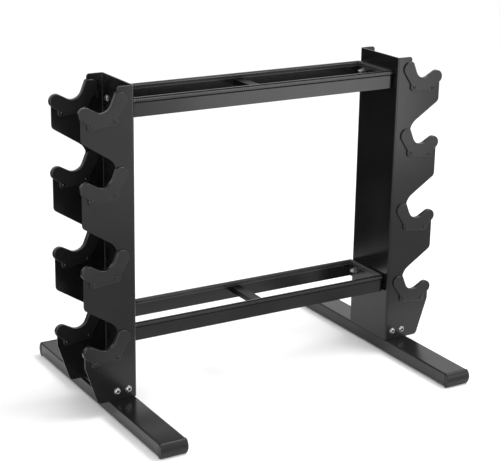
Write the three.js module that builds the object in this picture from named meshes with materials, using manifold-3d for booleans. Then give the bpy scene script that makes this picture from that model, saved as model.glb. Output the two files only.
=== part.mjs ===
// A floor-standing dumbbell rack: two bent steel uprights with hooks down both edges, each bolted to a
// tubular foot, joined by two open shelves. Millimetres, +Z up, +Y to the back, origin on the floor under
// the middle of the rack.
import * as THREE from "three";
import { mergeVertices } from "three/addons/utils/BufferGeometryUtils.js";
import Module from "manifold-3d";

const wasm = await Module();
wasm.setup();

// ---- driving dimensions -------------------------------------------------------------------------------
const rackHeight = 578; // floor to the top of an upright
const webSpacing = 532.7; // clear width between the two uprights
const channelDepth = 120; // front flange face to back flange face
const sheet = 2.5; // upright sheet thickness
const bendRadius = 4; // outside radius of the upright's bends
const floorOfHook = 124.3; // height of the lowest saddle's resting line
const hookPitches = [144, 144, 125]; // steps from each saddle up to the next
const tierNames = ["bottom", "lower", "upper", "top"];
const gap = 0.3; // clearance between pieces that touch
const beyond = 1; // how far a cutting shape runs past what it cuts

const saddleProud = 3; // thickness of the plastic on each side of the sheet
const linerThickness = 3.4; // thickness of the plastic over the sheet's edge

const footLength = 486;
const footWidth = 50;
const footHeight = 25;
const footWall = 2;
const footInset = 2; // inner side of the foot, measured outwards from the web's inner face
const footCorner = 3; // outside radius of the tube's corners
const capFloor = 2; // how far a cap lifts the tube off the floor
const capRim = 2; // straight part of a cap outside the tube
const capNose = 7; // bulge of a cap beyond its rim
const capLip = 0.5; // how far a cap stands proud of the tube's sides and top
const plugLength = 22; // the part of a cap inside the tube
const plugSlack = 1.3; // plug to the tube's inner faces

const tabSheet = 3; // foot bracket thickness
const tabHeight = 36;
const tabWidth = 42;
const footBoltSpacing = 21.4;
const footBoltHeight = 44;

const barHeight = 30;
const barSheet = 4;
const frameFront = -46.5; // front face of a shelf frame
const frameBack = 60.5; // back face of a shelf frame
const frameGap = 1.5; // frame end to the web
const frameCorner = 5; // outside radius of a frame's bends
const leastCorner = 0.5; // radius left inside a tight bend
const frameFoot = [125, 520.5]; // height of each frame's lower edge
const shelfNames = ["lower", "top"];
const trimHeight = 9.4;
const trimWall = 0.9;
const trimTop = 2.6;
const braceWidth = 20;
const braceHeight = 10;
const braceDrop = 8; // frame top down to the top of the brace
const braceWall = 1.5;
const shelfBoltReach = 32; // shelf bolts, either side of the frame's middle
const shelfBoltRise = 2; // shelf bolts above the middle of the bar

const threadRadius = 3;
const holeRadius = 3.4;
const headRadius = 6.2; // of the flange under a bolt's head
const headFlange = 0.9; // thickness of that flange
const headShoulder = { radius: 4.9, height: 2 }; // where a domed head turns in
const headCrown = 3.1; // radius of its flat top
const headHeight = 3.3;
const socketRadius = 2.3;
const socketDepth = 1.8;
const hexagon = 6; // sides of a nut or a socket
const nutRadius = 5.7; // to its corners
const nutThickness = 5;
const washerRadius = 6;
const washerSheet = 1.5;
const footBoltTail = 2; // thread past the nut
const shelfBoltTail = 6;

const degrees = Math.PI / 180;
const hookSteps = 4; // straight steps in each curve of a hook or a saddle
const noseSteps = 5; // in the round end of a cap
const bendSteps = 3; // in a bend of the sheet or of a frame's bar
const cornerSteps = 2; // in a corner of the foot's tube
const sharp = 1; // for the small radius inside a bend
const holeSides = 10;
const headSides = 8;
const washerSides = 12;
const weldDistance = 1e-4; // points closer than this are one corner

// ---- materials ----------------------------------------------------------------------------------------
function finish(color, roughness, metalness) {
  return new THREE.MeshStandardMaterial({ color, roughness, metalness });
}

const blackSteel = finish(0x131313, 0.38, 0.0);
const blackPlastic = finish(0x1c1c1c, 0.5, 0.0);
const greyRubber = finish(0x3c3c3c, 0.75, 0.0);
const zincSteel = finish(0xb9bbbd, 0.3, 1.0);

// ---- solids -------------------------------------------------------------------------------------------
function solidOf(geometry) {
  const bare = geometry.index ? geometry.toNonIndexed() : geometry;
  const positions = new THREE.BufferGeometry().setAttribute("position", bare.getAttribute("position"));
  const merged = mergeVertices(positions, weldDistance);
  const vertProperties = merged.attributes.position.array;
  const triVerts = new Uint32Array(merged.index.array);
  return new wasm.Manifold(new wasm.Mesh({ numProp: 3, vertProperties, triVerts }));
}

function geometryOf(solid) {
  const data = solid.getMesh();
  const indexed = new THREE.BufferGeometry();
  indexed.setAttribute("position", new THREE.BufferAttribute(Float32Array.from(data.vertProperties), 3));
  indexed.setIndex(new THREE.BufferAttribute(Uint32Array.from(data.triVerts), 1));
  const flat = indexed.toNonIndexed();
  flat.computeVertexNormals();
  return flat;
}

function join(...solids) {
  return solids.reduce((whole, piece) => whole.add(piece));
}

function cut(solid, ...tools) {
  return tools.reduce((left, tool) => left.subtract(tool), solid);
}

// An outline drawn in X and Z, extruded between two values of Y.
function alongY(shape, yLow, yHigh, curveSegments) {
  const slab = new THREE.ExtrudeGeometry(shape, { depth: yHigh - yLow, bevelEnabled: false, curveSegments });
  return solidOf(slab.rotateX(Math.PI / 2).translate(0, yHigh, 0));
}

// An outline drawn in X and Y, extruded between two values of Z.
function alongZ(shape, zLow, zHigh, curveSegments) {
  const slab = new THREE.ExtrudeGeometry(shape, { depth: zHigh - zLow, bevelEnabled: false, curveSegments });
  return solidOf(slab.translate(0, 0, zLow));
}

// An outline drawn in Y and Z, extruded between two values of X.
function alongX(shape, xLow, xHigh, curveSegments) {
  const slab = new THREE.ExtrudeGeometry(shape, { depth: xHigh - xLow, bevelEnabled: false, curveSegments });
  const turn = new THREE.Matrix4().makeBasis(
    new THREE.Vector3(0, 1, 0),
    new THREE.Vector3(0, 0, 1),
    new THREE.Vector3(1, 0, 0),
  );
  return solidOf(slab.applyMatrix4(turn).translate(xLow, 0, 0));
}

function block(x, y, z) {
  const box = new THREE.BoxGeometry(x[1] - x[0], y[1] - y[0], z[1] - z[0]);
  return solidOf(box.translate((x[0] + x[1]) / 2, (y[0] + y[1]) / 2, (z[0] + z[1]) / 2));
}

// Cylinders that cut bolt holes along Y and along X.
function holeAlongY(yLow, yHigh, x, z) {
  const drill = new THREE.CylinderGeometry(holeRadius, holeRadius, yHigh - yLow, holeSides);
  return solidOf(drill.translate(x, (yLow + yHigh) / 2, z));
}

function holeAlongX(xLow, xHigh, y, z) {
  const drill = new THREE.CylinderGeometry(holeRadius, holeRadius, xHigh - xLow, holeSides);
  return solidOf(drill.rotateZ(Math.PI / 2).translate((xLow + xHigh) / 2, y, z));
}

function roundedBox(left, right, low, high, radius) {
  const shape = new THREE.Shape();
  shape.moveTo(left + radius, low);
  shape.lineTo(right - radius, low);
  shape.absarc(right - radius, low + radius, radius, -Math.PI / 2, 0);
  shape.absarc(right - radius, high - radius, radius, 0, Math.PI / 2);
  shape.absarc(left + radius, high - radius, radius, Math.PI / 2, Math.PI);
  shape.absarc(left + radius, low + radius, radius, Math.PI, 1.5 * Math.PI);
  return shape;
}

// ---- the hook, seen from the front: X outwards from the web, Z from the saddle's resting line ----------
const seat = { x: 59, z: 19, radius: 19 }; // the round bottom of the notch
const horn = { x: 88, z: -0.7, radius: 12.2 }; // the rounded outer end of the hook
const seatInner = 202.7; // degrees round the seat where its arc leaves for the throat
const seatOuter = 300; // where it leaves for the horn
const hornInner = 120; // degrees round the horn where it meets the seat
const throat = { x: 33.6, z: 22.5, plasticX: 34.5, plasticTop: 28.5 }; // the notch's inner wall
const ceiling = { x: 36.3, z: 40, outerZ: 78.5 }; // the sloping upper side of the notch, corner to corner
const ceilingInnerRound = 12; // how far from a corner its rounding starts
const ceilingOuterRound = 5.6;
const base = { x: 73.7, round: 6.5, slopeTop: -26 }; // the flange's outer bottom corner and slope above it
const crown = { x: 31.3, z: 30, round: 6 }; // the flange above the top notch

// A saddle's side plate: each round part is an arc between two angles in degrees.
const lobe = { x: 25.5, z: 18.4, radius: 13, from: 90, to: 215 }; // its inner end
const lobeEnd = { x: 30, cornerX: 33.2 }; // where the lobe's top leaves for the throat
const innerBoss = { x: 36.6, z: -15.6, radius: 7.8, from: 150, to: 275 };
const outerBoss = { x: 79.3, z: -21.1, radius: 7, from: 268, to: 390 };
const chin = { x: 97.3, z: -8.6 }; // where the lower edge meets the horn
const hornStart = -25; // degrees round the horn, above the chin

const hookReach = horn.x + horn.radius - linerThickness;
const saddleLines = hookPitches.reduce((lines, pitch) => [...lines, lines.at(-1) + pitch], [floorOfHook]);
const underside = footHeight + capFloor + gap;

// A line towards a corner, then a curve round it that ends on the way to the next point.
function turnCorner(shape, corner, next, size) {
  const here = new THREE.Vector2(...corner);
  const towards = (point) => point.clone().sub(here).setLength(size).add(here);
  const enter = towards(shape.currentPoint);
  const leave = towards(new THREE.Vector2(...next));
  shape.lineTo(enter.x, enter.y);
  shape.quadraticCurveTo(here.x, here.y, leave.x, leave.y);
}

// An arc round a circle given from a saddle's line, clockwise where its second angle is the smaller.
function turnArc(shape, line, circle, from, to, grow = 0) {
  const radius = circle.radius + grow;
  shape.absarc(circle.x, line + circle.z, radius, from * degrees, to * degrees, to < from);
}

// The edge of both flanges: up the hooks, then down along the web.
function flangeOutline() {
  const shape = new THREE.Shape();
  const slopeTop = [hookReach, floorOfHook + base.slopeTop];
  shape.moveTo(-beyond, underside);
  turnCorner(shape, [base.x, underside], slopeTop, base.round);
  shape.lineTo(...slopeTop);
  saddleLines.forEach((line, tier) => {
    shape.lineTo(hookReach, line + horn.z);
    turnArc(shape, line, horn, 0, hornInner, -linerThickness);
    turnArc(shape, line, seat, seatOuter, seatInner, linerThickness);
    shape.lineTo(throat.x, line + throat.z);
    if (tier === saddleLines.length - 1) {
      shape.lineTo(crown.x, line + crown.z);
      turnCorner(shape, [crown.x, rackHeight], [0, rackHeight], crown.round);
    } else {
      const outer = [hookReach, line + ceiling.outerZ];
      turnCorner(shape, [ceiling.x, line + ceiling.z], outer, ceilingInnerRound);
      turnCorner(shape, outer, [hookReach, saddleLines[tier + 1]], ceilingOuterRound);
    }
  });
  shape.lineTo(-beyond, rackHeight);
  return shape;
}

// The same outline with its edge moved outwards, as a polygon.
function grown(shape, distance, divisions) {
  const all = shape.getPoints(divisions);
  const points = all.filter((point, i) => point.distanceTo(all.at(i - 1)) > weldDistance);
  const moved = points.map((point, i) => {
    const before = points.at(i - 1);
    const after = points[(i + 1) % points.length];
    const inward = new THREE.Vector2().subVectors(point, before).normalize();
    const outward = new THREE.Vector2().subVectors(after, point).normalize();
    const first = new THREE.Vector2(inward.y, -inward.x);
    const second = new THREE.Vector2(outward.y, -outward.x);
    const mitre = first.clone().add(second).divideScalar(1 + first.dot(second));
    return point.clone().addScaledVector(mitre, distance);
  });
  return new THREE.Shape(moved);
}

// One side plate of a saddle, from the horn over the seat to the throat and back under the two screws.
function saddleOutline(line) {
  const shape = new THREE.Shape();
  const lobeTop = line + lobe.z + lobe.radius;
  turnArc(shape, line, horn, hornStart, hornInner);
  turnArc(shape, line, seat, seatOuter, seatInner);
  shape.lineTo(throat.plasticX, line + throat.plasticTop);
  shape.quadraticCurveTo(lobeEnd.cornerX, lobeTop, lobeEnd.x, lobeTop);
  for (const circle of [lobe, innerBoss, outerBoss]) {
    turnArc(shape, line, circle, circle.from, circle.to);
  }
  shape.lineTo(chin.x, line + chin.z);
  return shape;
}

// ---- one upright and everything fixed to it, in a frame whose X runs outwards from the web --------------
const halfDepth = channelDepth / 2;

function channelSection() {
  const open = hookReach + beyond;
  const inside = bendRadius - sheet;
  const shape = new THREE.Shape();
  shape.moveTo(open, -halfDepth);
  shape.lineTo(open, -halfDepth + sheet);
  shape.lineTo(bendRadius, -halfDepth + sheet);
  shape.absarc(bendRadius, -halfDepth + bendRadius, inside, -Math.PI / 2, -Math.PI, true);
  shape.absarc(bendRadius, halfDepth - bendRadius, inside, Math.PI, Math.PI / 2, true);
  shape.lineTo(open, halfDepth - sheet);
  shape.lineTo(open, halfDepth);
  shape.lineTo(bendRadius, halfDepth);
  shape.absarc(bendRadius, halfDepth - bendRadius, bendRadius, Math.PI / 2, Math.PI);
  shape.absarc(bendRadius, -halfDepth + bendRadius, bendRadius, Math.PI, 1.5 * Math.PI);
  return shape;
}

const footMiddle = footInset + footWidth / 2;
const footBoltsX = [footMiddle - footBoltSpacing / 2, footMiddle + footBoltSpacing / 2];
const frameMiddle = (frameFront + frameBack) / 2;
const shelfBoltsY = [frameMiddle - shelfBoltReach, frameMiddle + shelfBoltReach];
const shelfBoltsZ = frameFoot.map((foot) => foot + barHeight / 2 + shelfBoltRise);

function uprightSolid() {
  const depth = [-halfDepth - beyond, halfDepth + beyond];
  const channel = alongZ(channelSection(), underside - beyond, rackHeight + beyond, bendSteps);
  const edge = alongY(flangeOutline(), ...depth, hookSteps);
  const flangeHoles = footBoltsX.map((x) => holeAlongY(...depth, x, footBoltHeight));
  const webHoles = shelfBoltsZ.flatMap((z) => {
    return shelfBoltsY.map((y) => holeAlongX(-beyond, sheet + beyond, y, z));
  });
  return cut(channel.intersect(edge), ...flangeHoles, ...webHoles);
}

const slotOutline = grown(flangeOutline(), gap, hookSteps);
const flangeSlot = alongY(slotOutline, -halfDepth - gap, -halfDepth + sheet + gap, hookSteps);

function saddleSolid(line) {
  const front = -halfDepth - gap - saddleProud;
  const back = -halfDepth + sheet + gap + saddleProud;
  return cut(alongY(saddleOutline(line), front, back, hookSteps), flangeSlot);
}

function footSolid() {
  const left = footInset;
  const right = footInset + footWidth;
  const low = capFloor;
  const high = capFloor + footHeight;
  const outer = roundedBox(left, right, low, high, footCorner);
  const inside = footCorner - footWall;
  const inner = roundedBox(left + footWall, right - footWall, low + footWall, high - footWall, inside);
  const half = footLength / 2;
  return cut(alongY(outer, -half, half, cornerSteps), alongY(inner, -half - beyond, half + beyond, sharp));
}

// The front cap: a plug inside the tube, a short rim and a rounded nose.
function capSolid() {
  const joint = -footLength / 2 - gap;
  const rim = joint - capRim;
  const high = capFloor + footHeight + capLip;
  const x = [footInset - capLip, footInset + footWidth + capLip];
  const side = new THREE.Shape();
  side.moveTo(joint, 0);
  side.lineTo(joint, high);
  side.lineTo(rim, high);
  side.absellipse(rim, high / 2, capNose, high / 2, 90 * degrees, 270 * degrees);
  const mask = roundedBox(...x, 0, high, footCorner);
  const sides = alongY(mask, rim - capNose - beyond, joint, cornerSteps);
  const head = alongX(side, ...x, noseSteps).intersect(sides);
  const inset = footWall + plugSlack;
  const plugX = [footInset + inset, footInset + footWidth - inset];
  const plugZ = [capFloor + inset, capFloor + footHeight - inset];
  return join(head, block(plugX, [joint - beyond, joint + plugLength], plugZ));
}

// The bracket on top of the foot: a base with a tab standing up behind each flange.
function bracketSolid() {
  const low = capFloor + footHeight + gap;
  const reach = halfDepth - sheet - gap;
  const x = [footMiddle - tabWidth / 2, footMiddle + tabWidth / 2];
  const base = block(x, [-reach, reach], [low, low + tabSheet]);
  const front = block(x, [-reach, -reach + tabSheet], [low, low + tabHeight]);
  const back = block(x, [reach - tabSheet, reach], [low, low + tabHeight]);
  const holes = footBoltsX.map((hole) => holeAlongY(-halfDepth, halfDepth, hole, footBoltHeight));
  return cut(join(base, front, back), ...holes);
}

// A flanged button-head bolt along +Z, the underside of its head at zero. Its nut ends the grip, the thread's
// tail stands out past the nut, and each washer is a [low, high] pair.
function boltSolid(grip, tail, washers = []) {
  const end = -grip - nutThickness - tail;
  const profile = [
    [0, end],
    [threadRadius, end],
    [threadRadius, 0],
    [headRadius, 0],
    [headRadius, headFlange],
    [headShoulder.radius, headShoulder.height],
    [headCrown, headHeight],
    [0, headHeight],
  ].map(([radius, height]) => new THREE.Vector2(radius, height));
  const bolt = solidOf(new THREE.LatheGeometry(profile, headSides).rotateX(Math.PI / 2));
  const socketMiddle = headHeight - socketDepth / 2 + beyond / 2;
  const socket = rod(socketRadius, socketDepth + beyond, hexagon, socketMiddle);
  const nut = rod(nutRadius, nutThickness, hexagon, -grip - nutThickness / 2);
  const rings = washers.map(([low, high]) => rod(washerRadius, high - low, washerSides, (low + high) / 2));
  return join(cut(bolt, socket), nut, ...rings);
}

// A straight-sided piece along Z, about a middle height.
function rod(radius, length, sides, middle) {
  const cylinder = new THREE.CylinderGeometry(radius, radius, length, sides);
  return solidOf(cylinder.rotateX(Math.PI / 2).translate(0, 0, middle));
}

const footBolt = geometryOf(boltSolid(sheet + tabSheet + 3 * gap, footBoltTail));
const spacer = [-sheet - frameGap, -sheet - 2 * gap];
const barInside = spacer[0] - barSheet - 2 * gap;
const underNut = [barInside - washerSheet, barInside];
const shelfBolt = geometryOf(boltSolid(-underNut[0], shelfBoltTail, [spacer, underNut]));

function mesh(name, geometry, material) {
  const piece = new THREE.Mesh(geometry, material);
  piece.name = name;
  return piece;
}

const uprightGeometry = geometryOf(uprightSolid());
const footGeometry = geometryOf(footSolid());
const capGeometry = geometryOf(capSolid());
const bracketGeometry = geometryOf(bracketSolid());
const saddleGeometries = saddleLines.map((line) => geometryOf(saddleSolid(line)));

function sidePieces(side) {
  const pieces = new THREE.Group();
  pieces.add(mesh(`${side}_upright`, uprightGeometry, blackSteel));
  pieces.add(mesh(`${side}_foot`, footGeometry, blackSteel));
  pieces.add(mesh(`${side}_foot_bracket`, bracketGeometry, blackSteel));
  for (const [end, turn] of [["front", 1], ["back", -1]]) {
    const half = new THREE.Group();
    half.scale.y = turn;
    half.add(mesh(`${side}_${end}_foot_cap`, capGeometry, blackPlastic));
    tierNames.forEach((tier, i) => {
      half.add(mesh(`${side}_${end}_saddle_${tier}`, saddleGeometries[i], blackPlastic));
    });
    footBoltsX.forEach((x, i) => {
      const bolt = mesh(`${side}_${end}_foot_bolt_${i + 1}`, footBolt, zincSteel);
      bolt.rotation.x = Math.PI / 2;
      bolt.position.set(x, -halfDepth - gap, footBoltHeight);
      half.add(bolt);
    });
    pieces.add(half);
  }
  shelfNames.forEach((shelf, level) => {
    shelfBoltsY.forEach((y, i) => {
      const bolt = mesh(`${side}_${shelf}_shelf_bolt_${i + 1}`, shelfBolt, zincSteel);
      bolt.rotation.y = Math.PI / 2;
      bolt.position.set(sheet + gap, y, shelfBoltsZ[level]);
      pieces.add(bolt);
    });
  });
  return pieces;
}

// ---- the shelves: a flat bar on edge bent into a frame, a trim over its upper edge, and a brace ---------
const frameEnd = webSpacing / 2 - frameGap;

// The outside of a shelf frame, moved outwards.
function frameOutline(outwards) {
  const end = frameEnd + outwards;
  const radius = Math.max(frameCorner + outwards, leastCorner);
  return roundedBox(-end, end, frameFront - outwards, frameBack + outwards, radius);
}

// A ring that runs alongside the frame's bar, reaching past its outer and inner faces by the given sizes.
function ringSolid(outwards, inwards, low, high) {
  const outer = frameOutline(outwards);
  const inner = frameOutline(-barSheet - inwards);
  return cut(alongZ(outer, low, high, bendSteps), alongZ(inner, low - beyond, high + beyond, sharp));
}

function frameGeometry(foot) {
  const holeHeight = foot + barHeight / 2 + shelfBoltRise;
  const span = [-frameEnd - beyond, frameEnd + beyond];
  const holes = shelfBoltsY.map((y) => holeAlongX(...span, y, holeHeight));
  return geometryOf(cut(ringSolid(0, 0, foot, foot + barHeight), ...holes));
}

function trimGeometry(foot) {
  const barTop = foot + barHeight + gap;
  const high = barTop + trimTop;
  const shell = ringSolid(gap + trimWall, gap + trimWall, high - trimHeight, high);
  return geometryOf(cut(shell, ringSolid(gap, gap, foot, barTop)));
}

function braceGeometry(foot) {
  const y = [frameFront + barSheet + gap, frameBack - barSheet - gap];
  const top = foot + barHeight - braceDrop;
  const outer = block([-braceWidth / 2, braceWidth / 2], y, [top - braceHeight, top]);
  const innerX = [-braceWidth / 2 + braceWall, braceWidth / 2 - braceWall];
  const innerY = [y[0] - beyond, y[1] + beyond];
  const hollow = block(innerX, innerY, [top - braceHeight + braceWall, top - braceWall]);
  return geometryOf(cut(outer, hollow));
}

const rack = new THREE.Group();
const right = sidePieces("right");
right.position.x = webSpacing / 2;
const left = sidePieces("left");
left.position.x = -webSpacing / 2;
left.scale.x = -1;
rack.add(right, left);
shelfNames.forEach((shelf, level) => {
  rack.add(mesh(`${shelf}_shelf_frame`, frameGeometry(frameFoot[level]), blackSteel));
  rack.add(mesh(`${shelf}_shelf_trim`, trimGeometry(frameFoot[level]), greyRubber));
  rack.add(mesh(`${shelf}_shelf_brace`, braceGeometry(frameFoot[level]), blackSteel));
});

export default rack;
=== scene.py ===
"""A floor-standing dumbbell rack in glossy black powder coat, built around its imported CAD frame.

The uprights, feet, brackets, shelf frames and braces are the CAD nodes with bevels and materials. The
saddles, end caps, bolts and ribbed trims are finer pieces that stand for their CAD nodes, and the
saddles' small screws are added here. +Z is up and +Y is to the back. Shapes are written in millimetres,
and the floor, lights and camera in metres.
"""

import math

import bpy
from mathutils import Matrix, Vector


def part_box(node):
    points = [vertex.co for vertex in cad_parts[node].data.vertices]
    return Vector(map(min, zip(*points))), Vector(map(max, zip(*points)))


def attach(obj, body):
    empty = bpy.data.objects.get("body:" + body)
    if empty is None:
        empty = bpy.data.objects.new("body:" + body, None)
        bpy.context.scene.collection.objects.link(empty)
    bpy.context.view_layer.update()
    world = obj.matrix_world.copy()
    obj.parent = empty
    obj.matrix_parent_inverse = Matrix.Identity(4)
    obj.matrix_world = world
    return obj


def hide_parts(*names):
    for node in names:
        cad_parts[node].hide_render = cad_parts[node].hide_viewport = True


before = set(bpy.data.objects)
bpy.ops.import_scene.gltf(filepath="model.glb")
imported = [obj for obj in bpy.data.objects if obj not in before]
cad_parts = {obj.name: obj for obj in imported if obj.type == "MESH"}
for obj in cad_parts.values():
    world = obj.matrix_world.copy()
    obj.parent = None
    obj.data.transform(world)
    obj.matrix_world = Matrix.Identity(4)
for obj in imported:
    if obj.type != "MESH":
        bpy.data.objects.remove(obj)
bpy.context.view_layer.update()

MM = 0.001
X, Y, Z = 0, 1, 2


def span(node, axis):
    """The lowest and highest value of a CAD node along an axis, in millimetres."""
    low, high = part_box(node)
    return low[axis] / MM, high[axis] / MM


def middle(node, axis):
    return sum(span(node, axis)) / 2


# ---- shapes finer than the frame's, in millimetres ----------------------------------------------------
GAP = 0.3  # between pieces that touch
SHEET = 2.5  # an upright's steel

# A round part of a saddle: (outwards from the web, up from the saddle's line, radius).
SEAT = (59.0, 19.0, 19.0)
HORN = (88.0, -0.7, 12.2)
LOBE = (25.5, 18.4, 13.0)
INNER_BOSS = (36.6, -15.6, 7.8)
OUTER_BOSS = (79.3, -21.1, 7.0)
# The stretch of each that the outline follows: (round part, first and last angle in degrees, steps).
SEAT_ARC = (SEAT, 300, 202.7, 16)
HORN_ARC = (HORN, -25, 120, 20)
HORN_INSIDE_ARC = (HORN, 120, 0, 16)
LOBE_ARC = (LOBE, 90, 215, 14)
INNER_BOSS_ARC = (INNER_BOSS, 150, 275, 12)
OUTER_BOSS_ARC = (OUTER_BOSS, 268, 390, 12)
THROAT = (34.5, 28.5)  # where the seat's edge meets the lobe
CHIN = (97.3, -8.6)  # on the underside, between the outer boss and the horn
LOBE_CORNER = 33.2  # outwards from the web to the corner above the throat, which a curve rounds off
LOBE_FLAT = 30.0  # and to where that curve meets the lobe's flat top
LOBE_CURVE_STEPS = 4
SADDLE_PROUD = 3.0  # plastic on each face of the sheet
SADDLE_ROUND = 1.6  # radius of a saddle's outer rims
LINER = 3.4  # plastic over the sheet's edge
LINER_EASE = 0.2  # draws in the corners at its two ends

# Profiles of a saddle's screw, on either side of the saddle: (radius, outwards from the plastic's face).
SCREW_HEAD = ((3.5, -0.2), (3.5, 0.5), (3.2, 1.1), (2.5, 1.5), (1.5, 1.7), (1.3, 0.8), (0.05, 0.7))
SCREW_END = ((0.05, 1.3), (1.6, 1.1), (2.4, 0.5), (2.5, -0.2))
SCREW_SIDES = 20

CAP_RIM = 2.0  # straight part of a cap outside the tube
CAP_CORNER = 3.0  # radius of a cap's long edges
CAP_CORNER_STEPS = 5
CAP_EDGE = 0.3  # chamfer where the rim meets the tube
CAP_LIP = 0.5  # how far a cap stands proud of the tube
GROOVE_DEPTH = 0.6  # of the groove between nose and rim
GROOVE_WIDTH = 1.0
GROOVE_WALL = 0.15
NOSE_TURN = 88  # degrees of the nose's curve
NOSE_STEPS = 14
PLUG_INSET = 3.8  # a plug, from the cap's outside
PLUG_LENGTH = 22.0
PLUG_ROOT = 1.0  # how deep it starts in the cap

BAR_SHEET = 4.0  # a shelf frame's bar
FRAME_CORNER = 5.0  # outside radius of its bends
LEAST_CORNER = 0.3  # radius left inside a tight bend
RIB_PITCH = 3.9
RIB_DEPTH = 0.8
# One rib and the groove after it: places along the pitch and the depth there, as shares.
RIB = ((0.0, 0.35), (0.07, 0.0), (0.48, 0.0), (0.55, 0.35), (0.61, 1.0), (0.94, 1.0))
# The trim's outer face, upwards: a sunk neck, the ribs, a sunk channel and a rounded top edge. Depths are
# from the ribs, and heights are up from the lower edge or down from the top.
NECK_DEPTH, NECK_UP = 0.7, 2.1
RIBS_UP, RIBS_DOWN = 2.4, 3.4
CHANNEL_DEPTH, CHANNEL_DOWN = 1.0, (2.2, 1.2)
EDGE_DEPTHS, EDGE_DOWN = (1.1, 1.9), 0.4

HEAD = 6.2  # radius of the flange under a bolt's head
HEAD_FLANGE = 0.9
HEAD_CHAMFER = 0.25
HEAD_HEIGHT = 3.3
HEAD_SIDES = 36
DOME = 5.2  # radius of the dome's foot
DOME_TURN = 65  # degrees of the dome's curve
DOME_FLARE = 1.0  # how much wider its top is than a ball's
DOME_STEPS = 5
SOCKET = 2.6  # to its corners
SOCKET_DEPTH = 2.4
SOCKET_CHAMFER = 0.3
SOCKET_CONE = 0.2  # depth of the cone in its floor
TIP = 0.1  # radius of that cone's tip
THREAD = 3.0  # radius of its crests
THREAD_DEPTH = 0.45
THREAD_PITCH = 1.0
THREAD_SIDES = 20
ROD_TOP = 0.2  # how far the rod reaches into the head
ROD_CHAMFER = 0.2
ROD_PLAIN = 0.6  # end of the rod without a thread
NUT_ACROSS = 10.0
NUT_HEIGHT = 5.0
NUT_CHAMFER = 0.5
WASHER = 6.0  # outside radius
WASHER_SHEET = 1.5
WASHER_CHAMFER = 0.2
WASHER_SIDES = 32
TAB_SHEET = 3.0  # a foot bracket's tab
FOOT_BOLT_TAIL = 2.0  # thread past the nut
SHELF_BOLT_TAIL = 6.0
FOOT_BOLT_SPIN = 0.5  # radians that each bolt is turned more than the one before it
SHELF_BOLT_SPIN = 0.7

SMOOTH_ANGLE = 40.0  # degrees: a sharper edge shows as an edge
FINE_SMOOTH_ANGLE = 35.0  # for bolts and trims
WELD_DISTANCE = 0.01  # points of a CAD node closer than this are one
SHARPEST_MITRE = 0.3  # keeps the point of a sharp corner from running away

# ---- places taken from the frame, in millimetres ------------------------------------------------------
WEB = span("right_upright", X)[0]  # from the rack's middle to an upright's inner face
HALF_DEPTH = span("right_upright", Y)[1]  # from its middle to a flange's outer face
CAP_X = tuple(x - WEB for x in span("right_front_foot_cap", X))  # outwards from the web
CAP_HEIGHT = span("right_front_foot_cap", Z)[1]
CAP_JOINT = span("right_foot", Y)[0] - GAP  # where a front cap meets its tube
CAP_NOSE = CAP_JOINT - CAP_RIM - span("right_front_foot_cap", Y)[0]
FRAME_END = span("lower_shelf_frame", X)[1]
FRAME_Y = span("lower_shelf_frame", Y)
FRAME_GAP = WEB - FRAME_END
TRIM_OUT = FRAME_Y[0] - span("lower_shelf_trim", Y)[0]  # a trim's outer face, from the bar's
TIERS = ("bottom", "lower", "upper", "top")
SHELVES = ("lower", "top")
SIDES = (("right", 1), ("left", -1))
ENDS = (("front", 1), ("back", -1))
CORNERS = [(side, end, x_sign, y_sign) for side, x_sign in SIDES for end, y_sign in ENDS]


def saddle_line(node):
    """The height that a saddle's shape is drawn from."""
    return span(node, Z)[0] - OUTER_BOSS[1] + OUTER_BOSS[2]


# ---- materials ----------------------------------------------------------------------------------------
PATCH_RANGE = (0.35, 0.65)  # the values of noise that a finish's two colours stand for
GLOSS_RANGE = (0.3, 0.7)  # and its two roughnesses
GRAIN_HEIGHT = 0.0002  # metres


def noise(nodes, links, scale, detail=3.0):
    """Noise in the object's own space, so that it stays put on the surface."""
    where = nodes.new("ShaderNodeTexCoord")
    texture = nodes.new("ShaderNodeTexNoise")
    texture.inputs["Scale"].default_value = scale
    texture.inputs["Detail"].default_value = detail
    links.new(where.outputs["Object"], texture.inputs["Vector"])
    return texture.outputs["Fac"]


def ramp(nodes, links, value, low, high):
    """Turns noise into a colour between two colours."""
    mapping = nodes.new("ShaderNodeValToRGB")
    for element, position, colour in zip(mapping.color_ramp.elements, PATCH_RANGE, (low, high)):
        element.position = position
        element.color = (*colour, 1.0)
    links.new(value, mapping.inputs["Fac"])
    return mapping.outputs["Color"]


def spread(nodes, links, value, low, high):
    """Turns noise into a number between two numbers."""
    mapping = nodes.new("ShaderNodeMapRange")
    mapping.inputs["From Min"].default_value = GLOSS_RANGE[0]
    mapping.inputs["From Max"].default_value = GLOSS_RANGE[1]
    mapping.inputs["To Min"].default_value = low
    mapping.inputs["To Max"].default_value = high
    links.new(value, mapping.inputs["Value"])
    return mapping.outputs["Result"]


def surface(name, colours, roughness, grain, metallic=0.0, bump=0.05, patches=9.0, specular=0.38):
    """A finish with faint patches of colour and gloss and a fine grain in its surface."""
    material = bpy.data.materials.new(name)
    material.use_nodes = True
    nodes, links = material.node_tree.nodes, material.node_tree.links
    shader = nodes["Principled BSDF"]
    shader.inputs["Metallic"].default_value = metallic
    shader.inputs["Specular IOR Level"].default_value = specular
    broad = noise(nodes, links, patches)
    links.new(ramp(nodes, links, broad, *colours), shader.inputs["Base Color"])
    links.new(spread(nodes, links, broad, *roughness), shader.inputs["Roughness"])
    relief = nodes.new("ShaderNodeBump")
    relief.inputs["Strength"].default_value = bump
    relief.inputs["Distance"].default_value = GRAIN_HEIGHT
    links.new(noise(nodes, links, grain, 2.0), relief.inputs["Height"])
    links.new(relief.outputs["Normal"], shader.inputs["Normal"])
    return material


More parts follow.
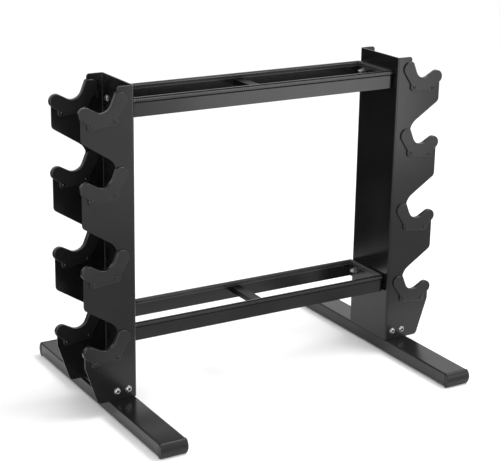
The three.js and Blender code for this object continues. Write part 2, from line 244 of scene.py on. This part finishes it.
def greys(low, high, blue=1.04):
    """Two greys with a trace of blue."""
    return (low, low, low * blue), (high, high, high * blue)


powder_coat = surface("powder coat", greys(0.004, 0.0065), (0.2, 0.26), 900)
matt_coat = surface("matt powder coat", greys(0.003, 0.005), (0.4, 0.5), 900, specular=0.16)
black_plastic = surface("black plastic", greys(0.007, 0.010), (0.25, 0.32), 2600, bump=0.12)
cap_plastic = surface("cap plastic", greys(0.005, 0.008), (0.34, 0.42), 2200, bump=0.08, specular=0.32)
rubber = surface("grey rubber", greys(0.032, 0.046), (0.14, 0.2), 3000, bump=0.04, specular=0.5)
# Near-black rubber painted on the trim's sunk faces as the shade in its grooves, neck and channel.
shade_painted_rubber = surface("rubber painted shade", greys(0.001, 0.002), (0.5, 0.6), 3000, bump=0.04, specular=0.1)
zinc = surface("zinc plate", greys(0.3, 0.4), (0.25, 0.33), 1800, metallic=1.0, bump=0.08, patches=160.0)
# Near-black steel painted into the bolt sockets as the shade of their recess.
socket_shade_steel = surface("socket painted shade", greys(0.03, 0.05), (0.3, 0.4), 1800, metallic=1.0, patches=160.0)
screw_steel = surface("black screw", greys(0.035, 0.06), (0.14, 0.2), 1500, metallic=1.0, patches=120)


# ---- meshes -------------------------------------------------------------------------------------------
def mesh_of(name, shells, *materials, smooth=SMOOTH_ANGLE, finishes=None):
    """A mesh from a list of (points in millimetres, faces), with a number for each face's material."""
    points, faces = [], []
    for shell_points, shell_faces in shells:
        start = len(points)
        points += [Vector(p) * MM for p in shell_points]
        faces += [tuple(start + i for i in face) for face in shell_faces]
    mesh = bpy.data.meshes.new(name)
    mesh.from_pydata(points, [], faces)
    for material in materials:
        mesh.materials.append(material)
    if finishes:
        mesh.polygons.foreach_set("material_index", finishes)
    mesh.validate()
    mesh.shade_smooth()
    mesh.set_sharp_from_angle(angle=math.radians(smooth))
    return mesh


def piece_of(name, mesh, place=Matrix()):
    """An object that shows a mesh."""
    piece = bpy.data.objects.new(name, mesh)
    piece.matrix_world = place
    bpy.context.scene.collection.objects.link(piece)
    return piece


def even_normals(piece):
    """Keeps large flat faces flat where they meet small rounded ones."""
    weighted = piece.modifiers.new("even normals", "WEIGHTED_NORMAL")
    weighted.keep_sharp = True
    weighted.weight = 100


def belongs(piece, slot, *nodes):
    """Puts a piece on the rack's one body, in place of its CAD nodes."""
    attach(piece, "root")
    if nodes:
        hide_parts(*nodes)


def arc(circle, start, end, steps, grow=0.0):
    """Points on a circle (x, z, radius) between two angles in degrees."""
    x, z, radius = circle
    turn = [math.radians(start + (end - start) * i / steps) for i in range(steps + 1)]
    return [(x + (radius + grow) * math.cos(a), z + (radius + grow) * math.sin(a)) for a in turn]


def bend(start, control, end, steps):
    """Points on a quadratic curve, without its first one."""
    points = []
    for i in range(1, steps + 1):
        t = i / steps
        weights = ((1 - t) ** 2, 2 * t * (1 - t), t * t)
        corners = (start, control, end)
        points.append(tuple(sum(w * c[k] for w, c in zip(weights, corners)) for k in (0, 1)))
    return points


def inset(outline, distance):
    """A closed anticlockwise outline moved inwards."""
    moved = []
    for i, here in enumerate(outline):
        before = Vector(here) - Vector(outline[i - 1])
        after = Vector(outline[(i + 1) % len(outline)]) - Vector(here)
        first = Vector((-before.y, before.x)).normalized()
        second = Vector((-after.y, after.x)).normalized()
        mitre = (first + second) / max(1.0 + first.dot(second), SHARPEST_MITRE)
        moved.append((here[0] + mitre.x * distance, here[1] + mitre.y * distance))
    return moved


def loft(rings, closed=False):
    """A solid through rings of points: capped at its two ends, or closed on itself."""
    n = len(rings[0])
    points = [point for ring in rings for point in ring]
    faces = [] if closed else [tuple(range(n)), tuple(range(len(points) - 1, len(points) - n - 1, -1))]
    for k in range(len(rings) - (not closed)):
        a, b = k * n, (k + 1) % len(rings) * n
        faces += [(a + i, b + i, b + (i + 1) % n, a + (i + 1) % n) for i in range(n)]
    return points, faces


def rounded_stations(low, high, low_radius, high_radius, steps=3):
    """Places along a plate's thickness with how far its outline is drawn in there to round both rims."""
    stations = []
    for i in range(steps + 1 if low_radius else 1):
        a = math.pi / 2 * i / steps
        stations.append((low + low_radius * (1 - math.sin(a)), low_radius * (1 - math.cos(a))))
    stations.reverse()
    for i in range(steps + 1 if high_radius else 1):
        a = math.pi / 2 * i / steps
        stations.append((high - high_radius * (1 - math.sin(a)), high_radius * (1 - math.cos(a))))
    return stations


def slab(outline, low, high, low_radius=0.0, high_radius=0.0):
    """A plate with rounded rims: an outline in (x, z) between two values of y."""
    rings = []
    for y, drawn_in in rounded_stations(low, high, low_radius, high_radius):
        rings.append([(x, y, z) for x, z in inset(outline, drawn_in)])
    return loft(rings)


def circle_ring(radius, z, sides):
    """A circle of points at a height, clockwise from above."""
    turn = [-2 * math.pi * i / sides for i in range(sides)]
    return [(radius * math.cos(a), radius * math.sin(a), z) for a in turn]


def hexagon_ring(radius, z, sides):
    """A hexagon with corners at a radius, with as many points as a circle has."""
    ring = []
    for i in range(sides):
        a = -2 * math.pi * i / sides
        reach = radius * math.cos(math.pi / 6) / math.cos(a % (math.pi / 3) - math.pi / 6)
        ring.append((reach * math.cos(a), reach * math.sin(a), z))
    return ring


def turned(profile, sides=24):
    """A solid turned about z from (radius, z) points, low end first."""
    return loft([circle_ring(radius, z, sides) for radius, z in profile])


# ---- the CAD nodes that are shown as they are ---------------------------------------------------------
def dress(node, material, bevel):
    """Gives a CAD node its finish, smooth shading and small rounded edges."""
    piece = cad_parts[node]
    piece.data.materials.clear()
    piece.data.materials.append(material)
    custom = piece.data.attributes.get("custom_normal")
    if custom:
        piece.data.attributes.remove(custom)
    piece.data.shade_smooth()
    weld = piece.modifiers.new("weld", "WELD")
    weld.merge_threshold = WELD_DISTANCE * MM
    edge = piece.modifiers.new("bevel", "BEVEL")
    edge.width = bevel * MM
    edge.segments = 2
    edge.limit_method = "ANGLE"
    edge.angle_limit = math.radians(SMOOTH_ANGLE)
    edge.harden_normals = False
    even_normals(piece)


for side in ("left", "right"):
    dress(f"{side}_upright", powder_coat, bevel=0.45)
    dress(f"{side}_foot", powder_coat, bevel=0.4)
    dress(f"{side}_foot_bracket", powder_coat, bevel=0.5)
for shelf in SHELVES:
    dress(f"{shelf}_shelf_frame", powder_coat, bevel=0.6)
    dress(f"{shelf}_shelf_brace", matt_coat, bevel=0.5)


# ---- saddles ------------------------------------------------------------------------------------------
def notch_edge(liner=0.0):
    """The saddle's edge round the seat, moved into the sheet by a liner's thickness."""
    return arc(*SEAT_ARC, grow=liner)


def saddle_plate():
    """The side plate of a saddle, anticlockwise from the underside of the horn."""
    lobe_top = LOBE[1] + LOBE[2]
    outline = arc(*HORN_ARC)
    outline += notch_edge()
    outline += [THROAT]
    outline += bend(THROAT, (LOBE_CORNER, lobe_top), (LOBE_FLAT, lobe_top), LOBE_CURVE_STEPS)
    outline += arc(*LOBE_ARC)
    outline += arc(*INNER_BOSS_ARC)
    outline += arc(*OUTER_BOSS_ARC)
    outline += [CHIN]
    return outline


def saddle_rim():
    """The band of plastic over the sheet's edge, between the sheet and the outside of the saddle."""
    hidden = LINER - GAP
    outside = arc(*HORN_ARC) + notch_edge() + [THROAT]
    inside = [(THROAT[0] - hidden + LINER_EASE, THROAT[1] - 2 * LINER_EASE)]
    inside += notch_edge(hidden)[::-1]
    inside += arc(*HORN_INSIDE_ARC, grow=-hidden)
    return outside + inside + [(CHIN[0] - LINER_EASE, CHIN[1] + hidden)]


def saddle_shells(line):
    """A right front saddle: a plate on each face of the sheet, and the rim between them."""

    def lifted(outline):
        return [(x, z + line) for x, z in outline]

    outer = -HALF_DEPTH - GAP
    inner = -HALF_DEPTH + SHEET + GAP
    plate = lifted(saddle_plate())
    return [
        slab(plate, outer - SADDLE_PROUD, outer, SADDLE_ROUND, 0.0),
        slab(plate, inner, inner + SADDLE_PROUD, 0.0, SADDLE_ROUND),
        slab(lifted(saddle_rim()), outer, inner),
    ]


def mirrored(shells, x_sign, y_sign):
    """The same shells at one of the rack's four corners, from the right front one."""
    placed = []
    for points, faces in shells:
        moved = [(x_sign * (x + WEB), y_sign * y, z) for x, y, z in points]
        flip = x_sign * y_sign < 0
        placed.append((moved, [face[::-1] if flip else face for face in faces]))
    return placed


for side, end, x_sign, y_sign in CORNERS:
    for tier in TIERS:
        node = f"{side}_{end}_saddle_{tier}"
        shells = mirrored(saddle_shells(saddle_line(node)), x_sign, y_sign)
        name = node + "_moulding"
        saddle = piece_of(name, mesh_of(name, shells, black_plastic))
        even_normals(saddle)
        belongs(saddle, "black_plastic", node)


# ---- screws through the saddles -----------------------------------------------------------------------
def facing_front(x, y, z, y_sign, spin=0.0):
    """A place in millimetres, with +Z turned to the front, or to the back where y_sign is -1."""
    turn = Matrix.Rotation(math.pi / 2 * y_sign, 4, "X") @ Matrix.Rotation(spin, 4, "Z")
    return Matrix.Translation(Vector((x, y, z)) * MM) @ turn


def screw_shells():
    """A small pan head with a round recess on the outside and a low rivet end on the inside."""
    back = -SHEET - 2 * GAP - 2 * SADDLE_PROUD
    end = [(radius, back - out) for radius, out in SCREW_END]
    return [turned(SCREW_HEAD, SCREW_SIDES), turned(end, SCREW_SIDES)]


screw_mesh = mesh_of("saddle_screw", screw_shells(), screw_steel)
for side, end, x_sign, y_sign in CORNERS:
    for tier in TIERS:
        line = saddle_line(f"{side}_{end}_saddle_{tier}")
        for number, boss in enumerate((INNER_BOSS, OUTER_BOSS), 1):
            out = -(HALF_DEPTH + GAP + SADDLE_PROUD) * y_sign
            place = facing_front(x_sign * (WEB + boss[0]), out, line + boss[1], y_sign)
            screw = piece_of(f"{side}_{end}_saddle_{tier}_screw_{number}", screw_mesh, place)
            belongs(screw, "zinc_steel")


# ---- bolts --------------------------------------------------------------------------------------------
def chamfered(low, high, size):
    """Heights of a ring's edges, with how far each is drawn in, for chamfers at both ends."""
    return [(low, size), (low + size, 0.0), (high - size, 0.0), (high, size)]


def nut(low, high):
    """A hexagonal nut with chamfered faces."""
    corner = NUT_ACROSS / math.sqrt(3)
    edges = chamfered(low, high, NUT_CHAMFER)
    return loft([hexagon_ring(corner - drawn_in, z, 6) for z, drawn_in in edges])


def washer(low, high):
    """A round disc with chamfered faces."""
    edges = chamfered(low, high, WASHER_CHAMFER)
    return turned([(WASHER - drawn_in, z) for z, drawn_in in edges], WASHER_SIDES)


def button_head():
    """A domed head on a flange, with a hexagonal socket, its underside at z = 0."""
    edges = chamfered(0.0, HEAD_FLANGE, HEAD_CHAMFER)
    rings = [circle_ring(HEAD - drawn_in, z, HEAD_SIDES) for z, drawn_in in edges]
    full_turn = math.radians(DOME_TURN)
    for i in range(DOME_STEPS + 1):
        a = full_turn * i / DOME_STEPS
        radius = DOME * math.cos(a) + DOME_FLARE * i / DOME_STEPS
        height = HEAD_FLANGE + (HEAD_HEIGHT - HEAD_FLANGE) * math.sin(a) / math.sin(full_turn)
        rings.append(circle_ring(radius, height, HEAD_SIDES))
    tip = (TIP, SOCKET_DEPTH + SOCKET_CONE)
    for radius, depth in ((SOCKET, SOCKET_CHAMFER), (SOCKET, SOCKET_DEPTH), tip):
        rings.append(hexagon_ring(radius, HEAD_HEIGHT - depth, HEAD_SIDES))
    return loft(rings)


def thread(low, high):
    """Thread crests as close rings on a rod."""
    root = THREAD - THREAD_DEPTH
    profile = [(root - ROD_CHAMFER, low), (root, low + 2 * ROD_CHAMFER)]
    turns = int((high - low - ROD_PLAIN) / THREAD_PITCH)
    for turn in range(turns):
        z = low + ROD_PLAIN + turn * THREAD_PITCH
        profile += [(root, z), (THREAD, z + THREAD_PITCH / 2)]
    return turned(profile + [(root, high)], THREAD_SIDES)


def foot_bolt_shells():
    """Head, rod and nut, through an upright's flange and a bracket's tab."""
    grip = SHEET + TAB_SHEET + 3 * GAP
    end = -grip - NUT_HEIGHT
    return [button_head(), thread(end - FOOT_BOLT_TAIL, ROD_TOP), nut(end, -grip)]


def shelf_bolt_shells():
    """Head, rod, nut, washer and spacer, through an upright's web and a shelf frame's bar."""
    grip = SHEET + FRAME_GAP + BAR_SHEET + 2 * GAP
    seat = -grip - WASHER_SHEET
    return [
        button_head(),
        thread(seat - NUT_HEIGHT - SHELF_BOLT_TAIL, ROD_TOP),
        nut(seat - NUT_HEIGHT, seat),
        washer(seat, -grip),
        washer(-SHEET - FRAME_GAP, -SHEET - 2 * GAP),
    ]


def bolt_mesh(name, shells):
    """A zinc bolt whose socket is painted dark steel for the shade in its recess. Its socket's faces are
    the narrow ones above the rod.
    """
    finishes = []
    for points, faces in shells:
        for face in faces:
            reach = max(math.hypot(*points[i][:2]) for i in face)
            lowest = min(points[i][2] for i in face)
            finishes.append(int(reach < THREAD and lowest > ROD_TOP))
    return mesh_of(name, shells, zinc, socket_shade_steel, smooth=FINE_SMOOTH_ANGLE, finishes=finishes)


foot_bolt_mesh = bolt_mesh("foot_bolt", foot_bolt_shells())
for side, end, x_sign, y_sign in CORNERS:
    for number in (1, 2):
        node = f"{side}_{end}_foot_bolt_{number}"
        seat = -(HALF_DEPTH + GAP) * y_sign
        place = facing_front(middle(node, X), seat, middle(node, Z), y_sign, FOOT_BOLT_SPIN * number)
        foot_bolt = piece_of(node + "_turned", foot_bolt_mesh, place)
        belongs(foot_bolt, "zinc_steel", node)

shelf_bolt_mesh = bolt_mesh("shelf_bolt", shelf_bolt_shells())
for side, x_sign in SIDES:
    for shelf in SHELVES:
        for number in (1, 2):
            node = f"{side}_{shelf}_shelf_bolt_{number}"
            seat = Vector((x_sign * (WEB + SHEET + GAP), middle(node, Y), middle(node, Z)))
            spin = Matrix.Rotation(SHELF_BOLT_SPIN * number, 4, "Z")
            turn = Matrix.Rotation(math.pi / 2 * x_sign, 4, "Y") @ spin
            shelf_bolt = piece_of(node + "_turned", shelf_bolt_mesh, Matrix.Translation(seat * MM) @ turn)
            belongs(shelf_bolt, "zinc_steel", node)


# ---- end caps -----------------------------------------------------------------------------------------
def cap_ring(y, half_height, drawn_in=0.0):
    """A rectangle with rounded corners across a cap, at one place along it."""
    tall = half_height - drawn_in
    round_z = min(CAP_CORNER, tall)
    left, right = CAP_X[0] + drawn_in + CAP_CORNER, CAP_X[1] - drawn_in - CAP_CORNER
    middles = ((right, 1), (left, 1), (left, -1), (right, -1))
    ring = []
    for i, (x, up) in enumerate(middles):
        for turn_x, turn_z in arc((0.0, 0.0, 1.0), 90 * i, 90 * i + 90, CAP_CORNER_STEPS):
            z = CAP_HEIGHT / 2 + up * (tall - round_z) + round_z * turn_z
            ring.append((x + CAP_CORNER * turn_x, y, z))
    return ring


def cap_shells():
    """A front end cap: a round nose, a groove, a rim over the tube's end, and a plug inside the tube."""
    rim = CAP_JOINT - CAP_RIM
    half = CAP_HEIGHT / 2
    rings = []
    for i in range(NOSE_STEPS):
        a = math.radians(NOSE_TURN) * (1 - i / NOSE_STEPS)
        rings.append(cap_ring(rim - CAP_NOSE * math.sin(a), half * math.cos(a)))
    groove_end = GROOVE_WIDTH - GROOVE_WALL
    grooved = [(0.0, 0.0), (GROOVE_WALL, GROOVE_DEPTH), (groove_end, GROOVE_DEPTH), (GROOVE_WIDTH, 0.0)]
    grooved += [(CAP_RIM - CAP_EDGE, 0.0), (CAP_RIM, CAP_EDGE)]
    rings += [cap_ring(rim + along, half, drawn_in) for along, drawn_in in grooved]
    left, right = CAP_X[0] + PLUG_INSET, CAP_X[1] - PLUG_INSET
    low, high = span("right_foot", Z)[0] + PLUG_INSET - CAP_LIP, CAP_HEIGHT - PLUG_INSET
    plug = [(left, low), (right, low), (right, high), (left, high)]
    return [loft(rings), slab(plug, CAP_JOINT - PLUG_ROOT, CAP_JOINT + PLUG_LENGTH)]


for side, end, x_sign, y_sign in CORNERS:
    node = f"{side}_{end}_foot_cap"
    name = node + "_moulding"
    cap = piece_of(name, mesh_of(name, mirrored(cap_shells(), x_sign, y_sign), cap_plastic))
    even_normals(cap)
    belongs(cap, "black_plastic", node)


# ---- ribbed trims -------------------------------------------------------------------------------------
def frame_path(outwards, ribs_x, ribs_y, corner_steps=6):
    """Points (x, y, groove) round a shelf frame at a distance outside its bar, as many for any distance."""
    end = FRAME_END + outwards
    front, back = FRAME_Y[0] - outwards, FRAME_Y[1] + outwards
    radius = max(FRAME_CORNER + outwards, LEAST_CORNER)
    corners = [
        (end - radius, front + radius, -90, ribs_y),
        (end - radius, back - radius, 0, ribs_x),
        (-end + radius, back - radius, 90, ribs_y),
        (-end + radius, front + radius, 180, ribs_x),
    ]
    path = []
    for i, (x, y, start, ribs) in enumerate(corners):
        path += [(*point, 0.0) for point in arc((x, y, radius), start, start + 90, corner_steps)]
        next_x, next_y, next_start, _ = corners[(i + 1) % 4]
        leave = Vector(path[-1][:2])
        arrive = Vector(arc((next_x, next_y, radius), next_start, next_start + 90, corner_steps)[0])
        for rib in range(ribs):
            path += [(*leave.lerp(arrive, (rib + share) / ribs), depth) for share, depth in RIB]
    return path


def trim_section(low, high):
    """Half of the trim's section: (outwards from the bar, z, share of a rib's depth, is it painted dark as
    shade).
    """
    return [
        (GAP, low, 0, True),
        (TRIM_OUT - NECK_DEPTH, low, 0, True),
        (TRIM_OUT - NECK_DEPTH, low + NECK_UP, 0, True),
        (TRIM_OUT, low + RIBS_UP, 1, False),
        (TRIM_OUT, high - RIBS_DOWN, 1, False),
        (TRIM_OUT - CHANNEL_DEPTH, high - CHANNEL_DOWN[0], 0, True),
        (TRIM_OUT - CHANNEL_DEPTH, high - CHANNEL_DOWN[1], 0, True),
        (TRIM_OUT - EDGE_DEPTHS[0], high - EDGE_DOWN, 0, True),
        (TRIM_OUT - EDGE_DEPTHS[1], high, 0, False),
    ]


def trim_mesh(node, bar_node):
    """A ribbed trim over the upper edge of a shelf frame's bar, with shade painted dark into its grooves,
    neck and channel.
    """
    bar_top = span(bar_node, Z)[1] + GAP
    half = trim_section(*span(node, Z))
    section = [(GAP, bar_top, 0, True)] + half
    section += [(-BAR_SHEET - outwards, z, rib, False) for outwards, z, rib, _ in half[::-1]]
    section += [(-BAR_SHEET - GAP, bar_top, 0, True)]
    ribs_x = round(2 * FRAME_END / RIB_PITCH)
    ribs_y = round((FRAME_Y[1] - FRAME_Y[0]) / RIB_PITCH)
    rings, finishes = [], []
    for outwards, z, rib, dark in section:
        inwards = -1 if outwards > -BAR_SHEET / 2 else 1
        crest = frame_path(outwards, ribs_x, ribs_y)
        groove = frame_path(outwards + inwards * RIB_DEPTH * rib, ribs_x, ribs_y)
        ring = []
        for (x, y, depth), (groove_x, groove_y, _) in zip(crest, groove):
            ring.append((x + (groove_x - x) * depth, y + (groove_y - y) * depth, z))
        rings.append(ring)
        # A face lies in a groove where its two corners together are deeper than one groove.
        sunk = [here[2] + after[2] > 1.0 for here, after in zip(crest, crest[1:] + crest[:1])]
        # Groove faces and the sunk neck and channel get the near-black rubber, as painted shade.
        finishes += [int(dark or (rib and deep)) for deep in sunk]
    points, faces = loft(rings, closed=True)
    shell = (points, [face[::-1] for face in faces])
    materials = (rubber, shade_painted_rubber)
    return mesh_of(node + "_ribbed", [shell], *materials, smooth=FINE_SMOOTH_ANGLE, finishes=finishes)


for shelf in SHELVES:
    node = f"{shelf}_shelf_trim"
    trim = piece_of(node + "_ribbed", trim_mesh(node, f"{shelf}_shelf_frame"))
    belongs(trim, "grey_rubber", node)


# ---- floor, light and camera --------------------------------------------------------------------------
FLOOR_REACH = 14  # metres from the rack
CAMERA_PLACE = Vector((-1.258527, -2.074908, 1.049791))
CAMERA_AZIMUTH = math.radians(-31.121)
CAMERA_ELEVATION = math.radians(17.751)
CAMERA_ROLL = math.radians(-1.0014)
CAMERA_SENSOR = 36.0  # millimetres
CAMERA_LENS = 100.87


def rectangle(name, x, y, z, material):
    """A flat rectangle that isn't part of the rack. It spans x, from the first (y, z) to the second."""
    mesh = bpy.data.meshes.new(name)
    corners = [(x[0], y[0], z[0]), (x[1], y[0], z[0]), (x[1], y[1], z[1]), (x[0], y[1], z[1])]
    mesh.from_pydata(corners, [], [(0, 1, 2, 3)])
    mesh.materials.append(material)
    piece = piece_of(name, mesh)
    return piece


floor_paint = surface("pale floor", greys(0.91, 0.93, 1.0), (0.6, 0.7), 60, bump=0.0, patches=1.5)
floor_span = (-FLOOR_REACH, FLOOR_REACH)
rectangle("floor", floor_span, floor_span, (0, 0), floor_paint)


def aimed(name, data, place, target):
    """An object at a place, its -Z turned to a target."""
    piece = bpy.data.objects.new(name, data)
    piece.location = place
    piece.rotation_euler = (Vector(target) - Vector(place)).to_track_quat("-Z", "Y").to_euler()
    bpy.context.scene.collection.objects.link(piece)
    return piece


def softbox(name, place, target, size, radiance):
    """A rectangular light that the camera doesn't see."""
    light = bpy.data.lights.new(name, "AREA")
    light.shape = "RECTANGLE"
    light.size, light.size_y = size
    light.energy = radiance * math.pi * size[0] * size[1]
    lamp = aimed(name, light, place, target)
    lamp.visible_camera = False


def card(name, x, y, z, grey):
    """A matt card that only reflections see."""
    paint = bpy.data.materials.new(name)
    paint.use_nodes = True
    shader = paint.node_tree.nodes["Principled BSDF"]
    shader.inputs["Base Color"].default_value = (grey, grey, grey, 1.0)
    shader.inputs["Specular IOR Level"].default_value = 0.0
    piece = rectangle(name, x, y, z, paint)
    piece.visible_camera = False
    piece.visible_diffuse = False
    piece.visible_shadow = False


softbox("overhead softbox", place=(1.0, -0.45, 2.1), target=(0, 0, 0.4), size=(1.6, 0.8), radiance=8.0)
softbox("right softbox", place=(0.83, -1.25, 0.28), target=(0.1, 0.0, 0.4), size=(0.6, 0.42), radiance=3.2)
softbox("left strip", place=(-0.85, -1.15, 0.22), target=(0.2, 0.0, 0.4), size=(0.55, 0.7), radiance=5.5)
card("back flag", x=(-1.8, 0.15), y=(0.43, 1.9), z=(0.003, 0.6), grey=0.0)
card("shelf flag", x=(-0.25, 0.25), y=(-0.04, 0.055), z=(0.519, 0.519), grey=0.0)
card("near floor card", x=(-2.5, 2.5), y=(-1.15, -0.27), z=(0.002, 0.002), grey=0.42)

world = bpy.data.worlds.new("studio")
bpy.context.scene.world = world
world.use_nodes = True
background = world.node_tree.nodes["Background"]
background.inputs["Color"].default_value = (1.0, 1.0, 1.0, 1.0)
background.inputs["Strength"].default_value = 1.07


def add_camera():
    """A long lens from the front left, a little above the rack."""
    data = bpy.data.cameras.new("camera")
    data.sensor_width = CAMERA_SENSOR
    data.lens = CAMERA_LENS
    camera = bpy.data.objects.new("camera", data)
    right = Vector((math.cos(CAMERA_AZIMUTH), math.sin(CAMERA_AZIMUTH), 0.0))
    flat = math.cos(CAMERA_ELEVATION)
    back = Vector((right.y * flat, -right.x * flat, math.sin(CAMERA_ELEVATION)))
    up = back.cross(right)
    cosine, sine = math.cos(CAMERA_ROLL), math.sin(CAMERA_ROLL)
    rolled_right = right * cosine - up * sine
    rolled_up = right * sine + up * cosine
    turn = Matrix((rolled_right, rolled_up, back)).transposed().to_4x4()
    camera.matrix_world = Matrix.Translation(CAMERA_PLACE) @ turn
    bpy.context.scene.collection.objects.link(camera)
    bpy.context.scene.camera = camera


add_camera()
bpy.context.scene.view_settings.view_transform = "Standard"
